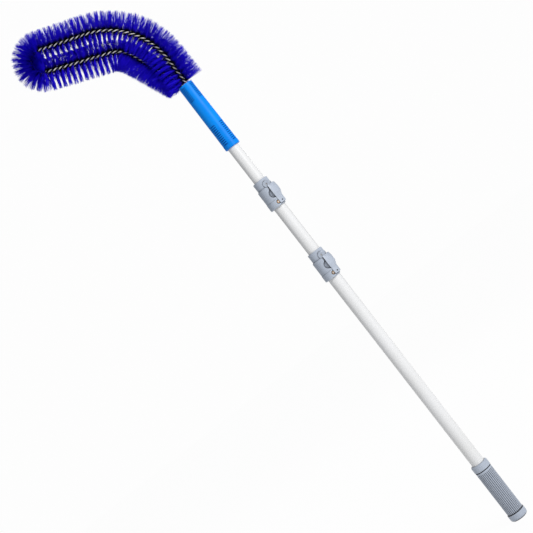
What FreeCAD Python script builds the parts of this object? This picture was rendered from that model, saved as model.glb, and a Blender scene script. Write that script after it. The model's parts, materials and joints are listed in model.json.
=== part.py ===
import FreeCAD, Part
import math
import os
import re

import Sketcher

# Cobweb brush on a three-section telescopic pole.
# The pole stands along +Z with its rounded end at the origin and the brush head bent towards -X.
# The clamp levers lie on the +X side, turned a little towards -Y.

Vector = FreeCAD.Vector

# Driving dimensions: name, millimetres or degrees or count, meaning
SIZES = [
    ("tube_diameter", 25.0, "outside of the outer tube"),
    ("tube_wall", 0.4, "sheet of all three tubes"),
    ("tube_gap", 0.3, "running gap between a tube and the one inside it"),
    ("bush_gap", 0.15, "running gap round a guide bush"),
    ("fit_gap", 0.05, "gap of pieces that are pushed together"),
    ("middle_length", 590.0, "whole middle tube, which the other two follow"),
    ("middle_exposed", 101.0, "middle tube seen between the clamps"),
    ("top_exposed", 77.0, "top tube seen between upper clamp and socket"),
    ("middle_foot_space", 110.5, "end cap's plug to the foot of the middle tube"),
    ("top_foot_space", 105.5, "foot of the middle tube to the foot of the top tube"),
    ("bush_flange", 6.0, "guide bush below the tube's end"),
    ("bush_spigot", 16.0, "guide bush inside the tube"),
    ("bush_bore", 6.0, "radius of the air hole in a bush"),
    ("cap_radius", 17.2, "rounded end cap"),
    ("cap_length", 14.0, "end cap below the grip"),
    ("cap_round", 5.5, "rounding of the end cap"),
    ("cap_floor", 5.0, "closed end of the cap under the tube"),
    ("cap_plug", 28.0, "top of the cap's plug inside the tube"),
    ("plug_wall", 2.0, "wall of the cap's hollow plug"),
    ("grip_length", 122.0, "whole handle end, cap and grip together"),
    ("grip_radius", 16.0, "fluted barrel"),
    ("grip_collar_radius", 16.6, "plain collar at the top of the grip"),
    ("grip_collar_length", 12.6, "plain collar at the top of the grip"),
    ("grip_collar_round", 3.0, "rounding of the collar"),
    ("neck_width", 2.0, "groove at each end of the barrel"),
    ("neck_depth", 1.6, "groove at each end of the barrel"),
    ("flutes", 30, "lengthwise grooves round the barrel"),
    ("flute_width", 1.9, "mouth of a groove"),
    ("flute_depth", 0.9, "depth of a groove"),
    ("flute_inset", 3.5, "plain part of the barrel above the grooves"),
    ("clamp_length", 57.5, "clamp body along the pole"),
    ("clamp_radius", 16.8, "main barrel of the clamp"),
    ("clamp_ring_radius", 17.4, "ring at the foot of the clamp"),
    ("clamp_ring_length", 13.0, "ring at the foot of the clamp"),
    ("clamp_collar_radius", 14.8, "narrow collar at the top of the clamp"),
    ("clamp_collar_length", 16.5, "narrow collar at the top of the clamp"),
    ("clamp_bevel", 1.0, "bevel of the clamp's rims"),
    ("clamp_seat", 29.0, "depth that the carrying tube goes in"),
    ("clamp_angle", 8.0, "direction of the lever, from +X towards -Y"),
    ("pin_reach", 8.0, "lever pins from the pole's axis, towards the lever"),
    ("pin_drop", 12.3, "lever pins below the top of the clamp"),
    ("pin_radius", 1.65, "two short lever pins"),
    ("pin_root", 10.5, "inner ends of the pins from the clamp's middle plane"),
    ("pin_gap", 0.06, "running gap round the lever pins"),
    ("boss_span", 25.6, "from face to face of the bosses that the fork runs on"),
    ("boss_radius", 4.3, "bosses that the fork runs on"),
    ("hub_radius", 6.3, "round hubs of the lever's fork"),
    ("hub_thickness", 2.8, "hubs of the lever's fork"),
    ("hub_side_gap", 0.3, "hub to boss"),
    ("hub_clearance", 0.4, "free space round the hubs"),
    ("lever_gap", 0.4, "lever to the barrel that it lies on"),
    ("lever_edge", 8.0, "side edges of the lever, from the axis"),
    ("lever_edge_gap", 0.6, "side edges of the lever to the foot ring"),
    ("lever_radius", 20.8, "widest part of the lever"),
    ("lever_top_radius", 19.2, "upper end of the lever"),
    ("lever_top_drop", 3.0, "upper end of the lever below its pins"),
    ("lever_bulge_high", 34.0, "upper end of the widest part"),
    ("lever_bulge_low", 24.0, "lower end of the widest part"),
    ("lever_tip_radius", 17.4, "tip of the lever"),
    ("lever_tip_wall", 2.8, "tip of the lever, thickness"),
    ("lever_tip_top", 15.0, "upper end of the tip"),
    ("lever_tip_height", 2.5, "lower end of the lever"),
    ("lever_bevel", 1.0, "bevelled foot of the lever"),
    ("lever_window_top", 41.0, "window in the lever"),
    ("lever_window_length", 8.0, "window in the lever"),
    ("lever_window_width", 5.0, "window in the lever"),
    ("lever_hole_radius", 1.2, "cross hole in the lever's tip"),
    ("lever_hole_reach", 13.4, "cross hole from the axis"),
    ("lever_hole_height", 6.5, "cross hole above the clamp's foot"),
    ("thumb_radius", 8.5, "thumb recess beside the lever"),
    ("thumb_height", 25.0, "thumb recess above the clamp's foot"),
    ("thumb_floor", 13.9, "thumb recess from the clamp's middle plane"),
    ("pad_size", 9.6, "square brake pad"),
    ("pad_height", 35.3, "middle of the brake pad above the clamp's foot"),
    ("pad_gap", 0.25, "pad to the tube it presses on"),
    ("press_gap", 0.1, "pad to the lever"),
    ("window_gap", 0.3, "pad to its window"),
    ("screw_turn", 70.0, "set screw from the lever's direction"),
    ("screw_radius", 1.3, "set screw that holds the clamp on its tube"),
    ("screw_height", 7.3, "set screw above the clamp's foot"),
    ("screw_seat", 15.2, "floor of the set screw's counterbore from the axis"),
    ("nut_radius", 2.2, "brass insert of the set screw"),
    ("nut_proud", 0.6, "insert and screw above the counterbore's floor"),
    ("nut_length", 2.4, "brass insert"),
    ("counterbore_radius", 4.0, "round recess over the set screw"),
    ("socket_length", 139.0, "blue socket along the pole"),
    ("socket_radius", 14.0, "socket at its mouth"),
    ("socket_base_radius", 14.8, "socket above its rim"),
    ("socket_rim_radius", 15.1, "rim at the socket's foot"),
    ("socket_rim_length", 8.0, "rim at the socket's foot"),
    ("socket_bevel", 1.2, "bevel of the socket's foot"),
    ("socket_seat", 60.0, "depth that the top tube goes in"),
    ("socket_core", 9.0, "radius of the hollow above the tube"),
    ("slot_depth", 1.4, "straight-bottomed grip slots of the socket"),
    ("slot_width", 1.6, "grip slots of the socket"),
    ("slot_turn", -38.0, "direction of the first slot panel from +X"),
    ("upper_slots", 9, "slots in a panel near the mouth"),
    ("upper_slot_pitch", 3.4, "spacing near the mouth"),
    ("upper_slot_inset", 5.0, "first slot below the mouth"),
    ("lower_slots", 11, "slots in a panel near the foot"),
    ("lower_slot_pitch", 3.9, "spacing near the foot"),
    ("lower_slot_inset", 10.0, "first slot above the foot"),
    ("slot_panels", 4, "panels round each end"),
    ("stem_plug_radius", 11.0, "plug that holds the wire ends"),
    ("stem_plug_length", 34.0, "plug that holds the wire ends"),
    ("stem_plug_recess", 1.0, "plug below the mouth"),
    ("stem_hole_gap", 0.1, "round the twisted wires in the plug"),
    ("wire_radius", 1.3, "each of the two twisted wires"),
    ("wire_gap", 0.06, "slack between the two wires"),
    ("wire_depth", 26.0, "wire ends below the mouth"),
    ("twist_pitch", 20.0, "one full twist of the wires"),
    ("stem_spread", 7.0, "two stems apart at the mouth, across the view"),
    ("stem_lap", 5.2, "two stems apart at the mouth, along the view"),
    ("bend_height", 149.0, "corner of the upper arm above the mouth"),
    ("bend_radius", 132.0, "bend of the upper arm"),
    ("arm_tilt", 18.9, "rise of the upper arm"),
    ("arm_length", 201.0, "upper arm from its corner to the loop's end"),
    ("loop_radius", 19.5, "hairpin at the far end"),
    ("inner_height", 120.0, "corner of the lower arm above the mouth"),
    ("inner_reach", 51.0, "corner of the lower arm from the axis"),
    ("inner_radius", 55.0, "bend of the lower arm"),
    ("entry_height", 9.0, "corner of the lower arm above the mouth, at the socket"),
    ("entry_radius", 40.0, "bend of the lower arm at the socket"),
    ("bristle_radius", 36.5, "bristle tips from the stem"),
    ("bristle_start", 4.0, "first bristles above the mouth"),
    ("bristle_gap", 0.4, "bristle roots to the wires that grip them"),
    ("bristle_root", 1.0, "thickness of a tuft next to the wires"),
    ("bristle_part", 1.2, "half the parting between the bristles of two stems"),
    ("tuft_fill", 0.7, "share of the stem's length that the tips cover"),
]

# Sizes that follow from the driving ones
DERIVED = {
    "outer_radius": "tube_diameter / 2",
    "middle_radius": "outer_radius - tube_wall - tube_gap",
    "top_radius": "middle_radius - tube_wall - tube_gap",
    "barrel_base": "cap_length + neck_width",
    "collar_base": "grip_length - grip_collar_length",
    "barrel_top": "collar_base - neck_width",
    "middle_foot": "cap_plug + middle_foot_space",
    "top_foot": "middle_foot + top_foot_space",
    "middle_top": "middle_foot + middle_length",
    "upper_clamp_base": "middle_top - clamp_seat",
    "lower_clamp_base": "upper_clamp_base - middle_exposed - clamp_length",
    "socket_base": "upper_clamp_base + clamp_length + top_exposed",
    "mouth": "socket_base + socket_length",
    "top_end": "socket_base + socket_seat",
    "clamp_step": "clamp_length - clamp_collar_length",
    "pin_height": "clamp_length - pin_drop",
    "lever_bore": "clamp_radius + lever_gap",
    "lever_top": "pin_height - lever_top_drop",
    "lever_waist": "lever_tip_top + lever_tip_wall",
    "lever_tip_bore": "lever_tip_radius - lever_tip_wall",
    "pad_face": "lever_bore - press_gap",
    "hub_face": "boss_span / 2 + hub_side_gap",
    "stem_hole_radius": "2 * wire_radius + stem_hole_gap",
}

doc = FreeCAD.newDocument("cobweb_brush")
sheet = doc.addObject("Spreadsheet::Sheet", "dims")
for row, (alias, size, meaning) in enumerate(SIZES, start=1):
    sheet.set("A%d" % row, str(size))
    sheet.setAlias("A%d" % row, alias)
    sheet.set("B%d" % row, meaning)
doc.recompute()

ALIASES = {alias for alias, size, meaning in SIZES}


def bound(text):
    """Turn a formula of size names into an expression on the sheet."""

    def reference(match):
        name = match.group()
        if name in ALIASES:
            return "dims." + name
        if name in DERIVED:
            return "(" + bound(DERIVED[name]) + ")"
        return name

    return re.sub(r"[a-z][a-z_]*", reference, text)


def value(text):
    """The number that a formula of size names gives."""
    return float(sheet.evalExpression(bound(text)))


# Sketching and feature helpers


def new_body(label, base=None, turn=None):
    """A body, raised to a height and turned about the pole where asked."""
    body = doc.addObject("PartDesign::Body", label)
    body.Label = label
    body.Placement = FreeCAD.Placement(Vector(0, 0, 0), FreeCAD.Rotation(Vector(0, 0, 1), 0))
    if base:
        body.setExpression(".Placement.Base.z", bound(base))
    if turn:
        body.Placement.Rotation = FreeCAD.Rotation(Vector(0, 0, 1), value(turn))
        body.setExpression(".Placement.Rotation.Angle", bound(turn))
    return body


def new_sketch(body, name, plane, offset=None, turn=None):
    """A sketch on one of the body's origin planes, turned about Z and moved out where asked."""
    sketch = body.newObject("Sketcher::SketchObject", name)
    support = [feature for feature in body.Origin.OriginFeatures if feature.Role == plane][0]
    sketch.AttachmentSupport = [(support, "")]
    sketch.MapMode = "FlatFace"
    if turn:
        sketch.AttachmentOffset.Rotation = FreeCAD.Rotation(Vector(0, 1, 0), value(turn))
        sketch.setExpression(".AttachmentOffset.Rotation.Angle", bound(turn))
        sketch.setExpression(".AttachmentOffset.Base.x", bound("(%s) * sin((%s) * 1deg)" % (offset, turn)))
        sketch.setExpression(".AttachmentOffset.Base.z", bound("(%s) * cos((%s) * 1deg)" % (offset, turn)))
    elif offset:
        sketch.setExpression(".AttachmentOffset.Base.z", bound(offset))
    return sketch


def pin_point(sketch, geometry, position, x, y):
    """Hold one sketch point at two formulas measured from the origin."""
    for kind, formula in (("DistanceX", x), ("DistanceY", y)):
        rule = Sketcher.Constraint(kind, -1, 1, geometry, position, value(formula))
        index = sketch.addConstraint(rule)
        sketch.setExpression("Constraints[%d]" % index, bound(formula))


def add_outline(sketch, corners):
    """A closed straight-sided outline with each corner held by formulas."""
    points = [Vector(value(x), value(y), 0) for x, y in corners]
    first = sketch.GeometryCount
    count = len(points)
    for i in range(count):
        sketch.addGeometry(Part.LineSegment(points[i], points[(i + 1) % count]), False)
    for i in range(count):
        here = first + i
        following = first + (i + 1) % count
        sketch.addConstraint(Sketcher.Constraint("Coincident", here, 2, following, 1))
    for i, (x, y) in enumerate(corners):
        pin_point(sketch, first + i, 1, x, y)


def add_circle(sketch, x, y, radius):
    """A circle held by formulas for its centre and radius."""
    circle = Part.Circle(Vector(value(x), value(y), 0), Vector(0, 0, 1), value(radius))
    index = sketch.addGeometry(circle, False)
    pin_point(sketch, index, 3, x, y)
    rule = sketch.addConstraint(Sketcher.Constraint("Radius", index, value(radius)))
    sketch.setExpression("Constraints[%d]" % rule, bound(radius))


def rectangle(x_low, x_high, y_low, y_high):
    return [(x_low, y_low), (x_high, y_low), (x_high, y_high), (x_low, y_high)]


ROUND_STEPS = 3


def round_corner(radius, height, size, sign):
    """Points of a rim rounded in straight steps, from its flat face up (+) or down (-) its side."""
    points = []
    for i in range(ROUND_STEPS + 1):
        angle = "%d * 90deg / %d" % (i, ROUND_STEPS)
        across = "%s - %s * (1 - sin(%s))" % (radius, size, angle)
        along = "%s %s %s * (1 - cos(%s))" % (height, sign, size, angle)
        points.append((across, along))
    return points


def revolve(body, name, corners):
    """A turned solid from a profile of radius and height."""
    sketch = new_sketch(body, name + "_profile", "XZ_Plane")
    add_outline(sketch, corners)
    feature = body.newObject("PartDesign::Revolution", name)
    feature.Profile = sketch
    feature.ReferenceAxis = (sketch, ["V_Axis"])
    feature.Angle = 360
    doc.recompute()
    return feature


def extrude(body, kind, name, sketch, length, both_sides=True, reverse=False):
    """A pad or a pocket of a sketch, to both sides of it or to one."""
    before = body.Shape.Volume if body.Tip else 0.0
    feature = body.newObject("PartDesign::" + kind, name)
    feature.Profile = sketch
    feature.SideType = "Symmetric" if both_sides else "One side"
    feature.Reversed = reverse
    feature.setExpression("Length", bound(length))
    doc.recompute()
    change = body.Shape.Volume - before
    if (kind == "Pad") != (change > 0):
        raise RuntimeError("%s of %s changed nothing" % (name, body.Label))
    return feature


def rim_edges(feature, rims):
    """Names of the full circles of a turned solid at the given radii and heights."""
    names = []
    for number, edge in enumerate(feature.Shape.Edges, start=1):
        if not isinstance(edge.Curve, Part.Circle):
            continue
        for radius, height in rims:
            same_radius = abs(edge.Curve.Radius - value(radius)) < 1e-4
            if same_radius and abs(edge.Curve.Center.z - value(height)) < 1e-4:
                names.append("Edge%d" % number)
    return names


def bevel_rims(body, feature, rims, size):
    """Bevel the named rims of a turned solid."""
    bevel = body.newObject("PartDesign::Chamfer", feature.Name + "_rims")
    bevel.Base = (feature, rim_edges(feature, rims))
    bevel.setExpression("Size", bound(size))
    doc.recompute()


def repeat_round(body, name, feature, sketch, axis, count):
    """Repeat a feature evenly round one of its sketch's axes."""
    pattern = body.newObject("PartDesign::PolarPattern", name)
    pattern.Originals = [feature]
    pattern.Axis = (sketch, [axis])
    pattern.Angle = 360
    pattern.setExpression("Occurrences", bound(count))
    body.Tip = pattern
    doc.recompute()


# Tubes and their guide bushes


def tube(label, radius, low, high):
    body = new_body(label)
    inner = "%s - tube_wall" % radius
    revolve(body, label + "_wall", rectangle(inner, radius, low, high))
    return body


def foot_bush(label, inside, around, tube_foot):
    """Guide bush: a flange that runs in the larger tube and a spigot in the smaller one."""
    body = new_body(label)
    flange = "%s - tube_wall - bush_gap" % around
    spigot = "%s - tube_wall - bush_gap" % inside
    foot = "%s - bush_flange" % tube_foot
    top = "%s + bush_spigot" % tube_foot
    corners = [
        ("bush_bore", foot),
        (flange, foot),
        (flange, tube_foot),
        (spigot, tube_foot),
        (spigot, top),
        ("bush_bore", top),
    ]
    revolve(body, label + "_turned", corners)
    return body


# Handle end


def end_cap():
    body = new_body("end_cap")
    plug = "outer_radius - tube_wall - fit_gap"
    seat = "outer_radius + fit_gap"
    hollow = plug + " - plug_wall"
    corners = [
        ("0", "0"),
        *round_corner("cap_radius", "0", "cap_round", "+"),
        ("cap_radius", "cap_length"),
        (seat, "cap_length"),
        (seat, "cap_floor"),
        (plug, "cap_floor"),
        (plug, "cap_plug"),
        (hollow, "cap_plug"),
        (hollow, "cap_floor"),
        ("0", "cap_floor"),
    ]
    revolve(body, "end_cap_turned", corners)
    return body


def hand_grip():
    """Sleeve with a fluted barrel between two necks and a rounded collar on top."""
    body = new_body("hand_grip")
    bore = "outer_radius + fit_gap"
    neck = "grip_radius - neck_depth"
    corners = [
        (bore, "cap_length"),
        (neck, "cap_length"),
        (neck, "barrel_base"),
        ("grip_radius", "barrel_base"),
        ("grip_radius", "barrel_top"),
        (neck, "barrel_top"),
        (neck, "collar_base"),
        ("grip_collar_radius", "collar_base"),
        *reversed(round_corner("grip_collar_radius", "grip_length", "grip_collar_round", "-")),
        (bore, "grip_length"),
    ]
    revolve(body, "hand_grip_turned", corners)
    sketch = new_sketch(body, "flute_section", "XY_Plane", "barrel_base")
    corners = [
        ("grip_radius - flute_depth", "0"),
        ("grip_radius", "-flute_width / 2"),
        ("grip_radius + flute_depth", "-flute_width / 2"),
        ("grip_radius + flute_depth", "flute_width / 2"),
        ("grip_radius", "flute_width / 2"),
    ]
    add_outline(sketch, corners)
    length = "barrel_top - barrel_base - flute_inset"
    groove = extrude(body, "Pocket", "flute", sketch, length, False, True)
    repeat_round(body, "flute_ring", groove, sketch, "N_Axis", "flutes")
    return body


# Lever clamps; each is drawn with its lever along +X and its foot at height 0


def clamp_piece(clamp, piece, turn="-clamp_angle"):
    return new_body(clamp["name"] + "_clamp_" + piece, clamp["base"], turn)


def on_both_sides(body, kind, name, distance, circle, length):
    """A round pad or pocket on each side of the clamp's middle plane, worked outwards from a distance."""
    for side, sign, reverse in (("near", "", kind == "Pocket"), ("far", "-", kind == "Pad")):
        sketch = new_sketch(body, "%s_%s_round" % (name, side), "XZ_Plane", sign + distance)
        add_circle(sketch, *circle)
        extrude(body, kind, "%s_%s" % (name, side), sketch, length, False, reverse)


def clamp_body(clamp):
    """Barrel on the carrying tube, with a guiding collar, bosses for the fork and a cut-back foot ring."""
    body = clamp_piece(clamp, "body")
    name = body.Label
    carrier_bore = clamp["carrier"] + " + fit_gap"
    slider_bore = clamp["slider"] + " + tube_gap"
    corners = [
        (carrier_bore, "0"),
        ("clamp_ring_radius", "0"),
        ("clamp_ring_radius", "clamp_ring_length"),
        ("clamp_radius", "clamp_ring_length"),
        ("clamp_radius", "clamp_step"),
        ("clamp_collar_radius", "clamp_step"),
        ("clamp_collar_radius", "clamp_length"),
        (slider_bore, "clamp_length"),
        (slider_bore, "clamp_seat"),
        (carrier_bore, "clamp_seat"),
    ]
    turned = revolve(body, name + "_barrel", corners)
    rims = [
        ("clamp_ring_radius", "0"),
        ("clamp_radius", "clamp_step"),
        ("clamp_collar_radius", "clamp_length"),
    ]
    bevel_rims(body, turned, rims, "clamp_bevel")

    tip_space = new_sketch(body, name + "_tip_space_side", "XZ_Plane")
    near = "lever_edge - lever_edge_gap"
    high = "lever_waist + lever_gap"
    add_outline(tip_space, rectangle(near, "2 * lever_radius", "-lever_gap", high))
    extrude(body, "Pocket", name + "_tip_space", tip_space, "4 * lever_radius")
    floor = "lever_tip_bore - lever_gap"
    revolve(body, name + "_tip_floor", rectangle(carrier_bore, floor, "0", "clamp_seat"))

    boss = ("pin_reach", "pin_height", "boss_radius")
    on_both_sides(body, "Pad", name + "_boss", "pin_root", boss, "boss_span / 2 - pin_root")
    space = ("pin_reach", "pin_height", "hub_radius + hub_clearance")
    on_both_sides(body, "Pocket", name + "_hub_space", "boss_span / 2", space, "clamp_radius")
    bore = new_sketch(body, name + "_bore_round", "XY_Plane", "clamp_seat")
    add_circle(bore, "0", "0", slider_bore)
    extrude(body, "Pocket", name + "_bore", bore, "clamp_length", False, True)

    window = new_sketch(body, name + "_window_side", "XZ_Plane")
    window_low = "pad_height - pad_size / 2 - window_gap"
    window_high = "pad_height + pad_size / 2 + window_gap"
    add_outline(window, rectangle(clamp["slider"] + " / 2", "2 * clamp_radius", window_low, window_high))
    extrude(body, "Pocket", name + "_window", window, "pad_size + 2 * window_gap")
    thumb = ("lever_edge", "thumb_height", "thumb_radius")
    on_both_sides(body, "Pocket", name + "_thumb", "thumb_floor", thumb, "clamp_radius")

    pins = new_sketch(body, name + "_pin_holes", "XZ_Plane")
    add_circle(pins, "pin_reach", "pin_height", "pin_radius + fit_gap")
    extrude(body, "Pocket", name + "_pin_bore", pins, "2 * boss_span")
    screw_holes = (
        ("recess", "screw_seat", "counterbore_radius"),
        ("insert", "screw_seat + nut_proud - nut_length", "nut_radius + fit_gap"),
        ("screw", clamp["slider"], "screw_radius + fit_gap"),
    )
    for step, depth, radius in screw_holes:
        hole = new_sketch(body, "%s_%s_round" % (name, step), "YZ_Plane", depth, "-screw_turn")
        add_circle(hole, "0", "screw_height", radius)
        extrude(body, "Pocket", "%s_%s_hole" % (name, step), hole, "clamp_radius", False, True)
    return body


def clamp_lever(clamp):
    """Fork lever: a shell that wraps the clamp, bulged in the middle, with two round hubs."""
    body = clamp_piece(clamp, "lever")
    name = body.Label
    corners = [
        ("lever_tip_bore", "lever_tip_height"),
        ("lever_tip_radius", "lever_tip_height"),
        ("lever_tip_radius", "lever_tip_top"),
        ("lever_radius", "lever_bulge_low"),
        ("lever_radius", "lever_bulge_high"),
        ("lever_top_radius", "lever_top"),
        ("lever_bore", "lever_top"),
        ("lever_bore", "lever_waist"),
        ("lever_tip_bore", "lever_tip_top"),
    ]
    turned = revolve(body, name + "_shell", corners)
    bevel_rims(body, turned, [("lever_tip_radius", "lever_tip_height")], "lever_bevel")
    away = new_sketch(body, name + "_away_side", "XZ_Plane")
    wide = "2 * lever_radius"
    add_outline(away, rectangle("-" + wide, "lever_edge", "-lever_gap", "clamp_length"))
    extrude(body, "Pocket", name + "_away", away, "2 * " + wide)
    hub = ("pin_reach", "pin_height", "hub_radius")
    on_both_sides(body, "Pad", name + "_hub", "hub_face", hub, "hub_thickness")

    window = new_sketch(body, name + "_window_side", "XZ_Plane")
    window_low = "lever_window_top - lever_window_length"
    add_outline(window, rectangle("lever_edge", wide, window_low, "lever_window_top"))
    extrude(body, "Pocket", name + "_window", window, "lever_window_width")
    holes = new_sketch(body, name + "_cross_holes", "XZ_Plane")
    add_circle(holes, "pin_reach", "pin_height", "pin_radius + pin_gap")
    add_circle(holes, "lever_hole_reach", "lever_hole_height", "lever_hole_radius")
    extrude(body, "Pocket", name + "_drilled", holes, "2 * " + wide)
    return body


def clamp_pin(clamp):
    """Two short pins, one in each boss."""
    body = clamp_piece(clamp, "pin")
    body.AllowCompound = True
    name = body.Label
    round_pin = ("pin_reach", "pin_height", "pin_radius")
    length = "hub_face + hub_thickness + pin_gap - pin_root"
    on_both_sides(body, "Pad", name + "_shank", "pin_root", round_pin, length)
    return body


def clamp_pad(clamp):
    """Brake pad between the sliding tube and the lever, curved on both faces."""
    body = clamp_piece(clamp, "pad")
    name = body.Label
    low = "pad_height - pad_size / 2"
    high = "pad_height + pad_size / 2"
    revolve(body, name + "_ring", rectangle(clamp["slider"] + " + pad_gap", "pad_face", low, high))
    trim = new_sketch(body, name + "_trim", "XY_Plane", low)
    wide = "2 * pad_face"
    half = "pad_size / 2"
    corners = [
        ("0", "-" + half),
        (wide, "-" + half),
        (wide, "-" + wide),
        ("-" + wide, "-" + wide),
        ("-" + wide, wide),
        (wide, wide),
        (wide, half),
        ("0", half),
    ]
    add_outline(trim, corners)
    extrude(body, "Pocket", name + "_block", trim, "2 * pad_size")
    return body


def clamp_screw(clamp):
    """Set screw through the foot ring; its tip holds on the carrying tube."""
    body = clamp_piece(clamp, "screw", "-clamp_angle - screw_turn")
    tip = clamp["carrier"] + " + fit_gap"
    shank = new_sketch(body, body.Label + "_round", "YZ_Plane", tip)
    add_circle(shank, "0", "screw_height", "screw_radius")
    length = "screw_seat + nut_proud - (%s)" % tip
    extrude(body, "Pad", body.Label + "_shank", shank, length, False)
    return body


def clamp_nut(clamp):
    """Round brass insert that the set screw turns in."""
    body = clamp_piece(clamp, "nut", "-clamp_angle - screw_turn")
    ring = new_sketch(body, body.Label + "_round", "YZ_Plane", "screw_seat + nut_proud - nut_length")
    add_circle(ring, "0", "screw_height", "nut_radius")
    add_circle(ring, "0", "screw_height", "screw_radius + fit_gap")
    extrude(body, "Pad", body.Label + "_ring", ring, "nut_length", False)
    return body


def clamp_set(name, base, carrier, slider):
    """All six pieces of one clamp, for the tube that carries it and the tube that slides in it."""
    clamp = {"name": name, "base": base, "carrier": carrier, "slider": slider}
    makers = (clamp_body, clamp_lever, clamp_pin, clamp_pad, clamp_screw, clamp_nut)
    return [make(clamp) for make in makers]


# Brush socket


def slot_panel(body, name, slots, first, pitch):
    """Groups of short grip slots, cut at one side and repeated round the socket."""
    sketch = new_sketch(body, name + "_profile", "XZ_Plane")
    for i in range(int(value(slots))):
        low = "%s + %d * %s - slot_width / 2" % (first, i, pitch)
        share = "(%s) / socket_length" % low
        skin = "socket_base_radius + (socket_radius - socket_base_radius) * %s" % share
        corners = rectangle(skin + " - slot_depth", skin + " + slot_depth", low, low + " + slot_width")
        add_outline(sketch, corners)
    pocket = extrude(body, "Pocket", name, sketch, "2 * socket_rim_radius")
    repeat_round(body, name + "_round", pocket, sketch, "V_Axis", "slot_panels")


def brush_socket():
    """Tapered sleeve: the top tube enters from below and the stem plug from above."""
    body = new_body("brush_socket", "socket_base", "slot_turn")
    tube_bore = "top_radius + fit_gap"
    plug_bore = "stem_plug_radius + fit_gap"
    plug_floor = "socket_length - stem_plug_length - stem_plug_recess"
    corners = [
        (tube_bore, "0"),
        ("socket_rim_radius", "0"),
        ("socket_rim_radius", "socket_rim_length"),
        ("socket_base_radius", "socket_rim_length"),
        ("socket_radius", "socket_length"),
        (plug_bore, "socket_length"),
        (plug_bore, plug_floor),
        ("socket_core", plug_floor),
        ("socket_core", "socket_seat"),
        (tube_bore, "socket_seat"),
    ]
    turned = revolve(body, "socket_turned", corners)
    bevel_rims(body, turned, [("socket_rim_radius", "0")], "socket_bevel")
    top_first = "socket_length - upper_slot_inset - (upper_slots - 1) * upper_slot_pitch"
    slot_panel(body, "upper_slot_panel", "upper_slots", top_first, "upper_slot_pitch")
    slot_panel(body, "lower_slot_panel", "lower_slots", "lower_slot_inset", "lower_slot_pitch")
    return body


def stem_plug():
    """Plug with two holes for the ends of the twisted stem."""
    body = new_body("stem_plug", "mouth - stem_plug_recess - stem_plug_length")
    disc = new_sketch(body, "stem_plug_round", "XY_Plane")
    add_circle(disc, "0", "0", "stem_plug_radius")
    extrude(body, "Pad", "stem_plug_block", disc, "stem_plug_length", False)
    holes = new_sketch(body, "stem_plug_holes", "XY_Plane", "stem_plug_length")
    for side in ("", "-"):
        opposite = "-" if side == "" else ""
        x = "%sstem_spread / 2" % side
        y = "%sstem_lap / 2" % opposite
        add_circle(holes, x, y, "stem_hole_radius")
    extrude(body, "Pocket", "stem_plug_drilled", holes, "wire_depth", False)
    return body


# Stem and bristles: faceted solids along one bent line


def stem_corners():
    """Corner points of the stem with the bend radius at each, from the upper arm's end to the lower's."""
    half_x = value("stem_spread / 2")
    half_y = value("stem_lap / 2")
    floor = value("mouth - wire_depth")
    mouth = value("mouth")
    tilt = math.radians(value("arm_tilt"))
    arm = Vector(-math.cos(tilt), 0, math.sin(tilt))
    across = Vector(-math.sin(tilt), 0, -math.cos(tilt))
    bend = Vector(half_x, -half_y, mouth + value("bend_height"))
    tip = bend + arm * value("arm_length")
    back = tip + across * (2 * value("loop_radius"))
    back.y = half_y
    inner = Vector(-value("inner_reach"), half_y, mouth + value("inner_height"))
    entry = Vector(-half_x, half_y, mouth + value("entry_height"))
    return [
        (Vector(half_x, -half_y, floor), 0.0),
        (bend, value("bend_radius")),
        (tip, value("loop_radius")),
        (back, value("loop_radius")),
        (inner, value("inner_radius")),
        (entry, value("entry_radius")),
        (Vector(-half_x, half_y, floor), 0.0),
    ]


class StemLine:
    """Straight runs joined by tangent arcs, read by the distance along them."""

    def __init__(self, corners):
        self.pieces = []
        self.length = 0.0
        start = corners[0][0]
        for before, here, after in zip(corners, corners[1:], corners[2:]):
            into = (here[0] - before[0]).normalize()
            out = (after[0] - here[0]).normalize()
            turn = into.getAngle(out)
            radius = here[1]
            reach = radius * math.tan(turn / 2)
            arc_start = here[0] - into * reach
            self.add_run(start, arc_start)
            axis = into.cross(out).normalize()
            centre = arc_start + axis.cross(into) * radius
            self.pieces.append(("arc", self.length, radius * turn, arc_start, into, centre, axis, radius))
            self.length += radius * turn
            start = here[0] + out * reach
        self.add_run(start, corners[-1][0])

    def add_run(self, start, end):
        along = end - start
        self.pieces.append(("run", self.length, along.Length, start, along.normalize()))
        self.length += (end - start).Length

    def at(self, distance):
        """Point, direction and curvature vector at a distance from the start."""
        for piece in self.pieces:
            kind, begin, length, start, direction = piece[:5]
            step = distance - begin
            if step > length and piece is not self.pieces[-1]:
                continue
            if kind == "run":
                return start + direction * step, direction, Vector(0, 0, 0)
            centre, axis, radius = piece[5:]
            turn = FreeCAD.Rotation(axis, math.degrees(step / radius))
            point = centre + turn.multVec(start - centre)
            return point, turn.multVec(direction), (centre - point) / radius ** 2


def around(direction, angle):
    """Unit vector square to the stem, at an angle from the view direction."""
    side = Vector(0, 1, 0)
    side = (side - direction * side.dot(direction)).normalize()
    other = direction.cross(side)
    return side * math.cos(angle) + other * math.sin(angle)


def facet(corners):
    return Part.Face(Part.makePolygon(corners + corners[:1]))


def faceted_solid(rings):
    """Closed solid of flat triangles through rings of equally many points."""
    faces = [facet(rings[0][::-1]), facet(rings[-1])]
    count = len(rings[0])
    for lower, upper in zip(rings, rings[1:]):
        for i in range(count):
            j = (i + 1) % count
            faces.append(facet([lower[i], lower[j], upper[j]]))
            faces.append(facet([lower[i], upper[j], upper[i]]))
    shell = Part.Shell(faces)
    shell.sewShape()
    solid = Part.Solid(shell)
    if solid.Volume < 0:
        solid.reverse()
    return solid


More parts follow.
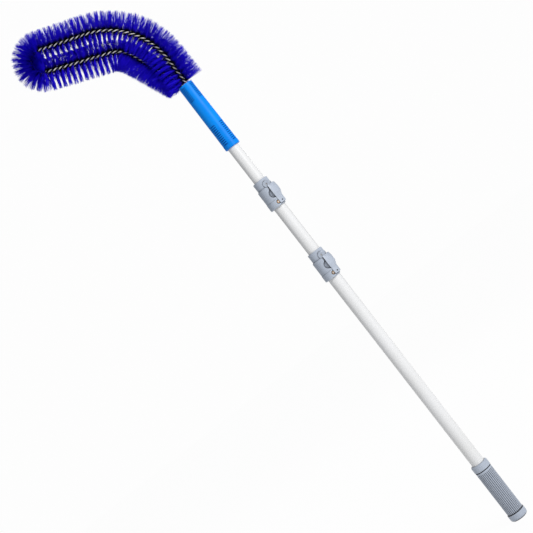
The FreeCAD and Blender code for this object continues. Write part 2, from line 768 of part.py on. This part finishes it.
def spaced(start, end, step):
    """Evenly spaced distances from start to end, about one step apart."""
    count = max(2, round((end - start) / step))
    return [start + (end - start) * i / count for i in range(count + 1)]


WIRE_SIDES = 4
WIRE_STEPS_PER_TWIST = 4
TUFT_STEPS_PER_TWIST = 8


def twist_angle(distance):
    """Angle of the line between the two wires; the twist is left-handed."""
    return -2 * math.pi * distance / value("twist_pitch")


def stem_wire(line):
    """Two wires twisted round each other all along the stem."""
    radius = value("wire_radius - wire_gap / 2")
    offset = value("wire_radius")
    strands = []
    for phase in (0.0, math.pi):
        rings = []
        for distance in spaced(0.0, line.length, value("twist_pitch") / WIRE_STEPS_PER_TWIST):
            point, direction, bend = line.at(distance)
            angle = twist_angle(distance) + phase
            centre = point + around(direction, angle) * offset
            ring = []
            for i in range(WIRE_SIDES):
                spoke = angle + 2 * math.pi * (i + 0.5) / WIRE_SIDES
                ring.append(centre + around(direction, spoke) * radius)
            rings.append(ring)
        strands.append(faceted_solid(rings))
    feature = doc.addObject("Part::Feature", "stem_wire")
    feature.Label = "stem_wire"
    feature.Shape = Part.makeCompound(strands)
    return feature


def tuft_reach(line, distance, outward, others):
    """Length of a bristle: full, or to the parting with the bristles of another stretch of stem."""
    point, direction, bend = line.at(distance)
    reach = value("bristle_radius")
    parting = value("bristle_part")
    for along, other in others:
        if abs(along - distance) < value("twist_pitch"):
            continue
        apart = other - point
        towards = apart.dot(outward)
        if towards > 0:
            reach = min(reach, apart.Length ** 2 / (2 * towards) - parting)
    mouth = value("mouth + bristle_start / 2")
    if outward.z < 0:
        reach = min(reach, (mouth - point.z) / outward.z)
    return reach


def bristles(label, line, start, end):
    """Two spiral fans of bristles between the wires, along one stretch of the stem."""
    root = value("wire_radius + bristle_gap")
    root_half = value("bristle_root / 2")
    tip_half = value("tuft_fill * twist_pitch / 4")
    others = [(along, line.at(along)[0]) for along in spaced(0.0, line.length, value("twist_pitch / 5"))]
    fans = []
    for phase in (math.pi / 2, 3 * math.pi / 2):
        rings = []
        for distance in spaced(start, end, value("twist_pitch") / TUFT_STEPS_PER_TWIST):
            point, direction, bend = line.at(distance)
            outward = around(direction, twist_angle(distance) + phase)
            reach = max(tuft_reach(line, distance, outward, others), root + root_half)
            crowding = min(1.0, 1.0 - reach * bend.dot(outward))
            half = root_half + (tip_half * crowding - root_half) * reach / value("bristle_radius")
            half = max(half, root_half * crowding)
            inner = point + outward * root
            outer = point + outward * reach
            thick = direction * half
            rings.append([inner, outer - thick, outer + thick])
        fans.append(faceted_solid(rings))
    feature = doc.addObject("Part::Feature", label)
    feature.Label = label
    feature.Shape = Part.makeCompound(fans)
    return feature


def brush_head():
    """The wire stem and its bristles, in stretches that follow its bends."""
    line = StemLine(stem_corners())
    bends = [piece for piece in line.pieces if piece[0] == "arc"]
    first = value("wire_depth + bristle_start")
    marks = [
        first,
        bends[0][1] + bends[0][2] / 2,
        bends[1][1],
        bends[2][1] + bends[2][2],
        bends[3][1] + bends[3][2] / 2,
        line.length - first,
    ]
    names = ("riser_bristles", "arm_bristles", "loop_bristles", "under_arm_bristles", "root_bristles")
    gap = value("bristle_gap")
    made = [stem_wire(line)]
    for name, start, end in zip(names, marks, marks[1:]):
        made.append(bristles(name, line, start + gap, end - gap))
    return made


# The whole brush
pieces = [
    end_cap(),
    hand_grip(),
    tube("outer_tube", "outer_radius", "cap_floor", "lower_clamp_base + clamp_seat"),
    tube("middle_tube", "middle_radius", "middle_foot", "middle_top"),
    tube("top_tube", "top_radius", "top_foot", "top_end"),
    foot_bush("middle_foot_bush", "middle_radius", "outer_radius", "middle_foot"),
    foot_bush("top_foot_bush", "top_radius", "middle_radius", "top_foot"),
    brush_socket(),
    stem_plug(),
]
pieces += clamp_set("lower", "lower_clamp_base", "outer_radius", "middle_radius")
pieces += clamp_set("upper", "upper_clamp_base", "middle_radius", "top_radius")
pieces += brush_head()

doc.recompute()
for item in doc.Objects:
    if "Invalid" in item.State or "Error" in item.State:
        raise RuntimeError("failed feature: " + item.Label)
for piece in pieces:
    if piece.Shape.isNull() or not piece.Shape.isValid():
        raise RuntimeError("bad shape: " + piece.Label)

os.makedirs("parts", exist_ok=True)
for piece in pieces:
    piece.Shape.exportStep("parts/%s.step" % piece.Label)
    print(piece.Label, "solids", len(piece.Shape.Solids), "volume", round(piece.Shape.Volume, 1))
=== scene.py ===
import json
import math

import bpy
import numpy as np
from mathutils import Matrix, Quaternion, Vector


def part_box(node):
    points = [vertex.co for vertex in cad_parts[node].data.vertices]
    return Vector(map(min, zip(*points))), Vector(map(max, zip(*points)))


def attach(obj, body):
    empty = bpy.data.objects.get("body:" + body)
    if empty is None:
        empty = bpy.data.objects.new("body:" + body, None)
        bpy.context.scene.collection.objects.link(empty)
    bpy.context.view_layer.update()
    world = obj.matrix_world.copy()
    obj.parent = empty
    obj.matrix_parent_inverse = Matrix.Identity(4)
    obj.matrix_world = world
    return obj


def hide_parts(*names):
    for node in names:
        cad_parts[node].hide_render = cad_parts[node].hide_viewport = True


# Cobweb brush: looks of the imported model.
# The pole stands along +Z, the brush bends towards -X and the photograph is taken along +Y.

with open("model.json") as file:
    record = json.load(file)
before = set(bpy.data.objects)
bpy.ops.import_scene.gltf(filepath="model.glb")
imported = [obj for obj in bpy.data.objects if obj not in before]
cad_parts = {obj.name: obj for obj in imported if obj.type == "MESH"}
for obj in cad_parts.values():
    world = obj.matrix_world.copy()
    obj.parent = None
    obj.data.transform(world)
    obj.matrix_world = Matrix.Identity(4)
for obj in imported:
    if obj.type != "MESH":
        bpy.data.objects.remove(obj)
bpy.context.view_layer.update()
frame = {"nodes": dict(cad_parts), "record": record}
nodes = frame["nodes"]

# Sizes of the stem and its bristles, in metres and degrees, as in the part's source
WIRE_RADIUS = 0.0013
WIRE_DEPTH = 0.026
TWIST_PITCH = 0.020
STEM_SPREAD = 0.007
STEM_LAP = 0.0052
BEND_HEIGHT = 0.149
BEND_RADIUS = 0.132
ARM_TILT = 18.9
ARM_LENGTH = 0.201
LOOP_RADIUS = 0.0195
INNER_HEIGHT = 0.120
INNER_REACH = 0.051
INNER_RADIUS = 0.055
ENTRY_HEIGHT = 0.009
ENTRY_RADIUS = 0.040
BRISTLE_RADIUS = 0.0365
BRISTLE_START = 0.004
TUFT_FILL = 0.70
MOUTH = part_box("brush_socket")[1][2]

# Make of the visible bristles and wires
BRISTLES_PER_METRE = 46000
BRISTLE_THICKNESS = 0.00066
BRISTLE_OVERLAP = 0.004
BRISTLE_CURL = 0.0008
BRISTLE_SEED = 7
FULL_REACH = (0.90, 1.0)
FAN_SPREAD = 0.18
STRAY_SHARE = 0.34
STRAY_REACH = (0.25, 0.70)
STRAY_SPREAD = math.pi / 2
FRONT_THINNING = 1.5
DENSE_FANS = 4
RISER_FORWARD = 0.25
STRAND_SIDES = 3
STRAND_STATIONS = (0.0, 0.2, 0.6, 1.0)
STRAND_WIDTHS = (1.0, 1.0, 0.9, 0.6)
PARTING_SAMPLES = 200
WIRE_SIDES = 10
WIRE_STEPS_PER_TWIST = 16
TINY = 1e-6

# Camera: picture size and focal length in pixels, sensor in millimetres, then its place in metres and degrees
PICTURE = 533
FOCAL_PIXELS = 1256.0
SENSOR = 36.0
CAMERA_DISTANCE = 2.236
POLE_LEAN = 37.78
AIM_ACROSS = -0.0837
AIM_HEIGHT = 0.629

# Stage: colour seen past the floor, and the share of plain white in the floor that the camera sees
BACKDROP = (0.984, 0.984, 0.984)
FLOOR_WHITE = 0.97
FLOOR_HALF = 6.0
SKY_COLOUR = (0.96, 0.98, 1.0)
SKY_LIGHT = 0.32

# Lamps: place, width in metres and power in watts, all aimed at the middle of the pole
LAMP_AIM = (0.0, 0.0, 0.65)
LAMPS = {
    "key": ((1.5, -1.9, 1.7), 1.0, 46.0),
    "fill": ((-1.6, -1.6, 0.9), 1.6, 3.0),
    "rear": ((0.4, 1.8, 1.5), 1.4, 12.0),
}


# Stem line


def stem_corners():
    """Corner points of the stem with the bend radius at each, from the upper arm's end to the lower's."""
    half_x = STEM_SPREAD / 2
    half_y = STEM_LAP / 2
    tilt = math.radians(ARM_TILT)
    arm = Vector((-math.cos(tilt), 0, math.sin(tilt)))
    across = Vector((-math.sin(tilt), 0, -math.cos(tilt)))
    bend = Vector((half_x, -half_y, MOUTH + BEND_HEIGHT))
    tip = bend + arm * ARM_LENGTH
    back = tip + across * (2 * LOOP_RADIUS)
    back.y = half_y
    return [
        (Vector((half_x, -half_y, MOUTH - WIRE_DEPTH)), 0.0),
        (bend, BEND_RADIUS),
        (tip, LOOP_RADIUS),
        (back, LOOP_RADIUS),
        (Vector((-INNER_REACH, half_y, MOUTH + INNER_HEIGHT)), INNER_RADIUS),
        (Vector((-half_x, half_y, MOUTH + ENTRY_HEIGHT)), ENTRY_RADIUS),
        (Vector((-half_x, half_y, MOUTH - WIRE_DEPTH)), 0.0),
    ]


class StemLine:
    """Straight runs joined by tangent arcs, read by the distance along them."""

    def __init__(self, corners):
        self.pieces = []
        self.length = 0.0
        start = corners[0][0]
        for before, here, after in zip(corners, corners[1:], corners[2:]):
            into = (here[0] - before[0]).normalized()
            out = (after[0] - here[0]).normalized()
            turn = into.angle(out)
            radius = here[1]
            reach = radius * math.tan(turn / 2)
            arc_start = here[0] - into * reach
            self.add_run(start, arc_start)
            axis = into.cross(out).normalized()
            centre = arc_start + axis.cross(into) * radius
            self.pieces.append(("arc", self.length, radius * turn, arc_start, into, centre, axis, radius))
            self.length += radius * turn
            start = here[0] + out * reach
        self.add_run(start, corners[-1][0])

    def add_run(self, start, end):
        along = end - start
        self.pieces.append(("run", self.length, along.length, start, along.normalized()))
        self.length += along.length

    def at(self, distance):
        """Point and direction at a distance from the start."""
        for piece in self.pieces:
            kind, begin, length, start, direction = piece[:5]
            step = distance - begin
            if step > length and piece is not self.pieces[-1]:
                continue
            if kind == "run":
                return start + direction * step, direction
            centre, axis, radius = piece[5:]
            turn = Quaternion(axis, step / radius)
            return centre + turn @ (start - centre), turn @ direction

    def sample(self, distances):
        """Points and directions at many distances, as arrays."""
        points, directions = zip(*[self.at(distance) for distance in distances])
        return np.array(points), np.array(directions)


def around(directions, angles):
    """Unit vectors square to the stem, at angles from the view direction."""
    side = np.array((0.0, 1.0, 0.0)) - directions * directions[:, 1:2]
    side /= np.linalg.norm(side, axis=1, keepdims=True)
    other = np.cross(directions, side)
    return side * np.cos(angles)[:, None] + other * np.sin(angles)[:, None]


def twist_angle(distances):
    """Angle of the line between the two wires; the twist is left-handed."""
    return -2 * math.pi * distances / TWIST_PITCH


# Mesh helpers


def new_piece(name, points, faces, material, body, replaced):
    """A smooth mesh piece that stands for CAD nodes and rides on their body."""
    mesh = bpy.data.meshes.new(name)
    mesh.from_pydata(points.tolist(), [], faces.tolist())
    mesh.polygons.foreach_set("use_smooth", np.ones(len(mesh.polygons), dtype=bool))
    mesh.materials.append(material)
    piece = bpy.data.objects.new(name, mesh)
    bpy.context.scene.collection.objects.link(piece)
    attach(piece, body)
    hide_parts(*replaced)
    return piece


def vertex_numbers(piece, name, numbers):
    """Store one number per vertex, for the piece's material to read."""
    layer = piece.data.attributes.new(name, "FLOAT", "POINT")
    layer.data.foreach_set("value", numbers.astype(np.float32))


def tube_faces(tubes, rings, sides):
    """Quads of many tubes whose points run ring by ring."""
    tube, ring, side = np.meshgrid(np.arange(tubes), np.arange(rings - 1), np.arange(sides), indexing="ij")
    first = tube * rings * sides + ring * sides
    here = first + side
    beside = first + (side + 1) % sides
    return np.stack([here, beside, beside + sides, here + sides], axis=-1).reshape(-1, 4)


# Material helpers


class Nodes:
    """A material's node tree with short ways to add nodes and links."""

    def __init__(self, name):
        self.material = bpy.data.materials.new(name)
        self.material.use_nodes = True
        self.tree = self.material.node_tree
        self.shader = self.tree.nodes["Principled BSDF"]

    def add(self, kind, **settings):
        node = self.tree.nodes.new("ShaderNode" + kind)
        for key, setting in settings.items():
            if hasattr(node, key):
                setattr(node, key, setting)
            else:
                node.inputs[key.replace("_", " ")].default_value = setting
        return node

    def link(self, output, target):
        self.tree.links.new(output, target)

    def set(self, **numbers):
        for key, number in numbers.items():
            self.shader.inputs[key.replace("_", " ")].default_value = number

    def noise(self, scale, detail=3.0, roughness=0.5, stretch=None):
        """Noise in the object's own metres, stretched along an axis where asked."""
        place = self.add("TexCoord").outputs["Object"]
        if stretch:
            mapping = self.add("Mapping")
            mapping.inputs["Scale"].default_value = stretch
            self.link(place, mapping.inputs["Vector"])
            place = mapping.outputs["Vector"]
        texture = self.add("TexNoise", Scale=scale, Detail=detail, Roughness=roughness)
        self.link(place, texture.inputs["Vector"])
        return texture.outputs["Fac"]

    def ramp(self, value, low, high, start=0.3, end=0.7):
        """Colour or grey between two ends as a value rises from start to end."""
        ramp = self.add("ValToRGB")
        for element, position, colour in zip(ramp.color_ramp.elements, (start, end), (low, high)):
            element.position = position
            element.color = (*colour, 1.0)
        self.link(value, ramp.inputs["Fac"])
        return ramp.outputs["Color"]

    def mix(self, factor, low, high):
        """Colour between two ends, each a colour or the output of another node."""
        blend = self.add("Mix", data_type="RGBA")
        self.link(factor, blend.inputs["Factor"])
        ends = [socket for socket in blend.inputs if socket.type == "RGBA"]
        for socket, end in zip(ends, (low, high)):
            if isinstance(end, tuple):
                socket.default_value = (*end, 1.0)
            else:
                self.link(end, socket)
        return next(socket for socket in blend.outputs if socket.type == "RGBA")

    def shaded(self, light, dark, distance, closed=0.45, opened=0.95):
        """A colour that goes dark in grooves narrower than a distance, as less of the sky is seen."""
        hollow = self.add("AmbientOcclusion", samples=8, Distance=distance)
        seen_sky = self.add("MapRange", From_Min=closed, From_Max=opened)
        self.link(hollow.outputs["AO"], seen_sky.inputs["Value"])
        return self.mix(seen_sky.outputs["Result"], dark, light)

    def spread(self, value, low, high):
        """A number between two ends as a noise rises from a third to two thirds."""
        mapped = self.add("MapRange", From_Min=0.33, From_Max=0.67, To_Min=low, To_Max=high)
        self.link(value, mapped.inputs["Value"])
        return mapped.outputs["Result"]

    def bump(self, height, strength, distance):
        bump = self.add("Bump", Strength=strength, Distance=distance)
        self.link(height, bump.inputs["Height"])
        self.link(bump.outputs["Normal"], self.shader.inputs["Normal"])

    def colour(self, output):
        self.link(output, self.shader.inputs["Base Color"])

    def roughness(self, output):
        self.link(output, self.shader.inputs["Roughness"])


def white_coating():
    """White powder-coated steel: faint orange peel, slight yellowing and rubbed streaks along the pole."""
    made = Nodes("white_coating")
    made.colour(made.ramp(made.noise(9.0, 4.0), (0.845, 0.843, 0.838), (0.885, 0.887, 0.90)))
    made.roughness(made.spread(made.noise(120.0, 3.0, 0.6, (1.0, 1.0, 0.06)), 0.24, 0.36))
    made.bump(made.noise(900.0, 2.0), 0.02, 0.00002)
    made.set(Coat_Weight=0.25, Coat_Roughness=0.12)
    return made.material


def grey_plastic(name, **groove_shade):
    """Bluish grey moulded plastic: fine spark-eroded grain, slightly uneven colour and sheen, and painted
    shade in its grooves.
    """
    made = Nodes(name)
    skin = made.ramp(made.noise(45.0, 5.0, 0.6), (0.45, 0.50, 0.59), (0.50, 0.555, 0.65))
    # Painted shade: the grain colour darkens to near black in grooves, where less sky is seen.
    made.colour(made.shaded(skin, (0.050, 0.053, 0.066), 0.004, **groove_shade))
    made.roughness(made.spread(made.noise(90.0, 4.0), 0.40, 0.56))
    made.bump(made.noise(1400.0, 2.0), 0.04, 0.00004)
    return made.material


def blue_plastic():
    """Azure moulded plastic with a satin gloss, and painted shade in its slots."""
    made = Nodes("blue_plastic")
    skin = made.ramp(made.noise(40.0, 4.0), (0.0, 0.245, 0.88), (0.0, 0.29, 0.97))
    # Painted shade: the azure darkens to deep blue in the slots, where less sky is seen.
    made.colour(made.shaded(skin, (0.0, 0.06, 0.40), 0.003))
    made.roughness(made.spread(made.noise(110.0, 4.0), 0.34, 0.46))
    made.set(Specular_IOR_Level=0.15)
    made.bump(made.noise(1800.0, 2.0), 0.04, 0.00004)
    return made.material


def black_plastic():
    """Plain black moulding of the hidden bushes, brake pads and stem plug."""
    made = Nodes("black_plastic")
    made.colour(made.ramp(made.noise(80.0), (0.016, 0.016, 0.018), (0.034, 0.034, 0.038)))
    made.roughness(made.spread(made.noise(160.0), 0.45, 0.62))
    made.bump(made.noise(2200.0, 2.0), 0.10, 0.0003)
    return made.material


def turned_metal(name, dark, light):
    """Metal with fine turning marks and a dull film."""
    made = Nodes(name)
    made.colour(made.ramp(made.noise(500.0, 4.0), dark, light))
    made.roughness(made.spread(made.noise(900.0, 3.0), 0.28, 0.46))
    made.bump(made.noise(3200.0, 2.0), 0.08, 0.0002)
    made.set(Metallic=1.0)
    return made.material


def galvanised_wire():
    """Zinc-coated wire: painted bright on the outer side of each turn as a highlight, and painted black as
    shade between the turns.
    """
    made = Nodes("galvanised_wire")
    zinc = made.ramp(made.noise(350.0, 5.0, 0.65), (0.92, 0.89, 0.83), (1.0, 0.97, 0.91))
    outer = made.add("Attribute", attribute_name="outer").outputs["Fac"]
    # Painted highlight and shade: only the outermost side of each turn keeps the bright zinc colour; the rest
    # is painted near black as shade between the turns.
    ridge_highlight = made.ramp(outer, (0.0, 0.0, 0.0), (1.0, 1.0, 1.0), 0.76, 0.90)
    made.colour(made.mix(ridge_highlight, (0.010, 0.010, 0.012), zinc))
    made.roughness(made.spread(made.noise(600.0, 3.0), 0.30, 0.50))
    made.bump(made.noise(2500.0, 3.0), 0.12, 0.0002)
    made.set(Metallic=0.1)
    return made.material


def bristle_plastic():
    """Ultramarine filament: each strand has its own tone, with painted shade making it dark at the wires, and
    paler at the frayed tip.
    """
    made = Nodes("bristle_plastic")
    tone = made.add("Attribute", attribute_name="tone").outputs["Fac"]
    along = made.add("Attribute", attribute_name="tip").outputs["Fac"]
    # Painted shade: near black at the wires, turning to the strand's blue between a sixth and a third of the
    # full reach.
    dull = made.ramp(along, (0.001, 0.001, 0.004), (0.006, 0.001, 0.66), 0.16, 0.31)
    bright = made.ramp(along, (0.001, 0.001, 0.006), (0.036, 0.011, 1.0), 0.16, 0.31)
    made.colour(made.mix(tone, dull, bright))
    made.roughness(made.spread(tone, 0.50, 0.66))
    made.set(Specular_IOR_Level=0.08)
    return made.material


# Twisted wires


def twisted_wires(line, material):
    """Two round wires twisted round each other all along the stem."""
    steps = round(line.length / TWIST_PITCH * WIRE_STEPS_PER_TWIST)
    distances = np.linspace(0.0, line.length, steps + 1)
    points, directions = line.sample(distances)
    rings = []
    for phase in (0.0, math.pi):
        centres = points + around(directions, twist_angle(distances) + phase) * WIRE_RADIUS
        spokes = [
            centres + around(directions, np.full(steps + 1, 2 * math.pi * side / WIRE_SIDES)) * WIRE_RADIUS
            for side in range(WIRE_SIDES)
        ]
        rings.append(np.stack(spokes, axis=1).reshape(-1, 3))
    surface = np.concatenate(rings)
    faces = tube_faces(2, steps + 1, WIRE_SIDES)
    piece = new_piece("twisted_wires", surface, faces, material, "head", ["stem_wire"])
    axis = np.tile(np.repeat(points, WIRE_SIDES, axis=0), (2, 1))
    vertex_numbers(piece, "outer", np.linalg.norm(surface - axis, axis=1) / (2 * WIRE_RADIUS))


# Bristles


def strand_reach(line_points, line_distances, roots, distances, outward, parted):
    """Length of each bristle: full, or to a little beyond the parting with another stretch of stem."""
    apart = line_points[None, :, :] - roots[:, None, :]
    towards = np.einsum("ijk,ik->ij", apart, outward)
    far = np.abs(line_distances[None, :] - distances[:, None]) > TWIST_PITCH
    facing = far & (towards > TINY)
    parting = np.where(facing, (apart ** 2).sum(axis=2) / (2 * np.maximum(towards, TINY)), np.inf)
    limit = parting.min(axis=1) + BRISTLE_OVERLAP if parted else np.inf
    reach = np.minimum(BRISTLE_RADIUS, limit)
    lowest = MOUTH + BRISTLE_START / 2
    down = outward[:, 2]
    drop = np.where(down < -TINY, (lowest - roots[:, 2]) / np.minimum(down, -TINY), np.inf)
    return np.minimum(reach, drop)


def bristle_strands(name, line, start, end, node, material, rng, fans=2, forward=0.0, bared=True):
    """Thin tapered strands that stand out between the wires in spiral fans, bent forward where asked.

    Shorter stray strands stand between the fans. Where the wires are bared, strands that face the
    viewer are thinned.
    """
    count = int((end - start) * BRISTLES_PER_METRE * fans / 2)
    distances = rng.uniform(start, end, count)
    roots, directions = line.sample(distances)
    fan = rng.integers(0, fans, count) * (2 * math.pi / fans) + math.pi / 2
    stray = rng.uniform(0.0, 1.0, count) < STRAY_SHARE
    stray_aside = rng.uniform(-STRAY_SPREAD, STRAY_SPREAD, count)
    aside = np.where(stray, stray_aside, rng.normal(0.0, FAN_SPREAD, count))
    share = np.where(stray, rng.uniform(*STRAY_REACH, count), rng.uniform(*FULL_REACH, count))
    outward = around(directions, twist_angle(distances) + fan + aside)
    shown = np.clip(FRONT_THINNING * (1 + outward[:, 1]), 0.0, 1.0) if bared else np.ones(count)
    kept = rng.uniform(0.0, 1.0, count) < shown
    count = int(kept.sum())
    distances, roots, directions = distances[kept], roots[kept], directions[kept]
    outward, share = outward[kept], share[kept]
    line_distances = np.linspace(0.0, line.length, PARTING_SAMPLES)
    line_points = line.sample(line_distances)[0]
    reach = strand_reach(line_points, line_distances, roots, distances, outward, not forward)
    reach = np.maximum(reach * share, 2 * WIRE_RADIUS)

    half = TUFT_FILL * TWIST_PITCH / 4
    lean = directions * (rng.uniform(-1.0, 1.0, count) * half * reach / BRISTLE_RADIUS)[:, None]
    lean[:, 1] -= forward * reach
    other = np.cross(directions, outward)
    curl = other * rng.normal(0.0, BRISTLE_CURL, count)[:, None]
    rings = []
    for station, width in zip(STRAND_STATIONS, STRAND_WIDTHS):
        arch = 4 * station * (1 - station)
        centre = roots + outward * (reach * station)[:, None] + lean * station + curl * arch
        for k in range(STRAND_SIDES):
            angle = 2 * math.pi * k / STRAND_SIDES
            spoke = directions * math.cos(angle) + other * math.sin(angle)
            rings.append(centre + spoke * (width * BRISTLE_THICKNESS / 2))
    points = np.stack(rings, axis=1).reshape(-1, 3)
    faces = tube_faces(count, len(STRAND_STATIONS), STRAND_SIDES)
    piece = new_piece(name, points, faces, material, "head", [node])
    per_strand = len(STRAND_STATIONS) * STRAND_SIDES
    tone = np.repeat(rng.uniform(0.0, 1.0, count), per_strand)
    tip = np.outer(reach / BRISTLE_RADIUS, np.repeat(STRAND_STATIONS, STRAND_SIDES)).ravel()
    vertex_numbers(piece, "tone", tone)
    vertex_numbers(piece, "tip", tip)


def brush_head():
    """The wires and the strands, in the same stretches as the CAD nodes."""
    line = StemLine(stem_corners())
    twisted_wires(line, galvanised_wire())
    bends = [piece for piece in line.pieces if piece[0] == "arc"]
    first = WIRE_DEPTH + BRISTLE_START
    marks = [
        first,
        bends[0][1] + bends[0][2] / 2,
        bends[1][1],
        bends[2][1] + bends[2][2],
        bends[3][1] + bends[3][2] / 2,
        line.length - first,
    ]
    rng = np.random.default_rng(BRISTLE_SEED)
    material = bristle_plastic()
    makes = {
        "riser": {"forward": RISER_FORWARD},
        "loop": {"fans": DENSE_FANS, "bared": False},
        "root": {"fans": DENSE_FANS},
    }
    for stretch, start, end in zip(("riser", "arm", "loop", "under_arm", "root"), marks, marks[1:]):
        make = makes.get(stretch, {})
        bristle_strands(stretch + "_strands", line, start, end, stretch + "_bristles", material, rng, **make)


# CAD nodes


def dress_nodes():
    """Give every CAD node that stays in view the material of its slot."""
    finishes = {
        "white_tube": white_coating(),
        "grey_plastic": grey_plastic("grey_plastic"),
        "bush_plastic": black_plastic(),
        "blue_plastic": blue_plastic(),
        "steel_pin": turned_metal("turned_steel", (0.42, 0.42, 0.43), (0.62, 0.62, 0.64)),
        "brass_nut": turned_metal("turned_brass", (0.42, 0.24, 0.10), (0.62, 0.38, 0.18)),
    }
    for subpart in frame["record"]["subparts"]:
        finish = finishes.get(subpart["material_slot"])
        if finish is None:
            continue
        node = nodes[subpart["node"]]
        node.data.materials.clear()
        node.data.materials.append(finish)
    # The grip takes a grey plastic with stronger painted shade in its flutes.
    nodes["hand_grip"].data.materials[0] = grey_plastic("grip_plastic", closed=0.62, opened=0.90)


# Stage


def floor():
    """Pale floor that fades to white for the camera and still takes the shadow."""
    made = Nodes("pale_floor")
    made.colour(made.ramp(made.noise(3.0), (0.90, 0.90, 0.90), (0.93, 0.93, 0.93)))
    made.set(Roughness=0.9)
    glow = made.add("Emission")
    glow.inputs["Color"].default_value = (1.0, 1.0, 1.0, 1.0)
    paths = made.add("LightPath")
    seen = made.add("Math", operation="MAXIMUM")
    made.link(paths.outputs["Is Camera Ray"], seen.inputs[0])
    made.link(paths.outputs["Is Glossy Ray"], seen.inputs[1])
    also = made.add("Math", operation="MAXIMUM")
    made.link(seen.outputs[0], also.inputs[0])
    made.link(paths.outputs["Is Transmission Ray"], also.inputs[1])
    share = made.add("Math", operation="MULTIPLY")
    share.inputs[1].default_value = FLOOR_WHITE
    made.link(also.outputs[0], share.inputs[0])
    blend = made.add("MixShader")
    made.link(share.outputs[0], blend.inputs["Fac"])
    made.link(made.shader.outputs["BSDF"], blend.inputs[1])
    made.link(glow.outputs["Emission"], blend.inputs[2])
    made.link(blend.outputs["Shader"], made.tree.nodes["Material Output"].inputs["Surface"])
    made.material.cycles.emission_sampling = "NONE"
    mesh = bpy.data.meshes.new("floor")
    corners = [(x * FLOOR_HALF, y * FLOOR_HALF, 0) for x, y in ((-1, -1), (1, -1), (1, 1), (-1, 1))]
    mesh.from_pydata(corners, [], [(0, 1, 2, 3)])
    mesh.materials.append(made.material)
    plane = bpy.data.objects.new("floor", mesh)
    bpy.context.scene.collection.objects.link(plane)


def white_world():
    """Soft light from all round, and the backdrop's white where the camera sees past the floor."""
    world = bpy.data.worlds.new("studio")
    bpy.context.scene.world = world
    world.use_nodes = True
    tree = world.node_tree
    light = tree.nodes["Background"]
    light.inputs["Color"].default_value = (*SKY_COLOUR, 1.0)
    light.inputs["Strength"].default_value = SKY_LIGHT
    white = tree.nodes.new("ShaderNodeBackground")
    paths = tree.nodes.new("ShaderNodeLightPath")
    seen = tree.nodes.new("ShaderNodeMath")
    seen.operation = "MAXIMUM"
    tree.links.new(paths.outputs["Is Camera Ray"], seen.inputs[0])
    tree.links.new(paths.outputs["Is Transmission Ray"], seen.inputs[1])
    white.inputs["Color"].default_value = (*BACKDROP, 1.0)
    blend = tree.nodes.new("ShaderNodeMixShader")
    tree.links.new(seen.outputs[0], blend.inputs["Fac"])
    tree.links.new(light.outputs["Background"], blend.inputs[1])
    tree.links.new(white.outputs["Background"], blend.inputs[2])
    tree.links.new(blend.outputs["Shader"], tree.nodes["World Output"].inputs["Surface"])


def soft_light(name, place, size, power):
    """A round lamp that faces the middle of the pole."""
    lamp = bpy.data.lights.new(name, "AREA")
    lamp.shape = "DISK"
    lamp.size = size
    lamp.energy = power
    thing = bpy.data.objects.new(name, lamp)
    thing.location = place
    thing.rotation_euler = (Vector(LAMP_AIM) - Vector(place)).to_track_quat("-Z", "Y").to_euler()
    bpy.context.scene.collection.objects.link(thing)


def camera():
    """Level camera along +Y, rolled so that the pole leans as it does in the photograph."""
    lens = bpy.data.cameras.new("camera")
    lens.sensor_width = SENSOR
    lens.lens = FOCAL_PIXELS / PICTURE * SENSOR
    eye = bpy.data.objects.new("camera", lens)
    lean = math.radians(POLE_LEAN)
    right = Vector((math.cos(lean), 0, -math.sin(lean)))
    up = Vector((math.sin(lean), 0, math.cos(lean)))
    back = Vector((0, -1, 0))
    turn = Matrix((right, up, back)).transposed().to_4x4()
    eye.matrix_world = Matrix.Translation((AIM_ACROSS, -CAMERA_DISTANCE, AIM_HEIGHT)) @ turn
    bpy.context.scene.collection.objects.link(eye)
    bpy.context.scene.camera = eye


camera()
white_world()
floor()
for lamp_name, (lamp_place, lamp_size, lamp_power) in LAMPS.items():
    soft_light(lamp_name, lamp_place, lamp_size, lamp_power)
dress_nodes()
brush_head()
bpy.context.scene.view_settings.view_transform = "Standard"
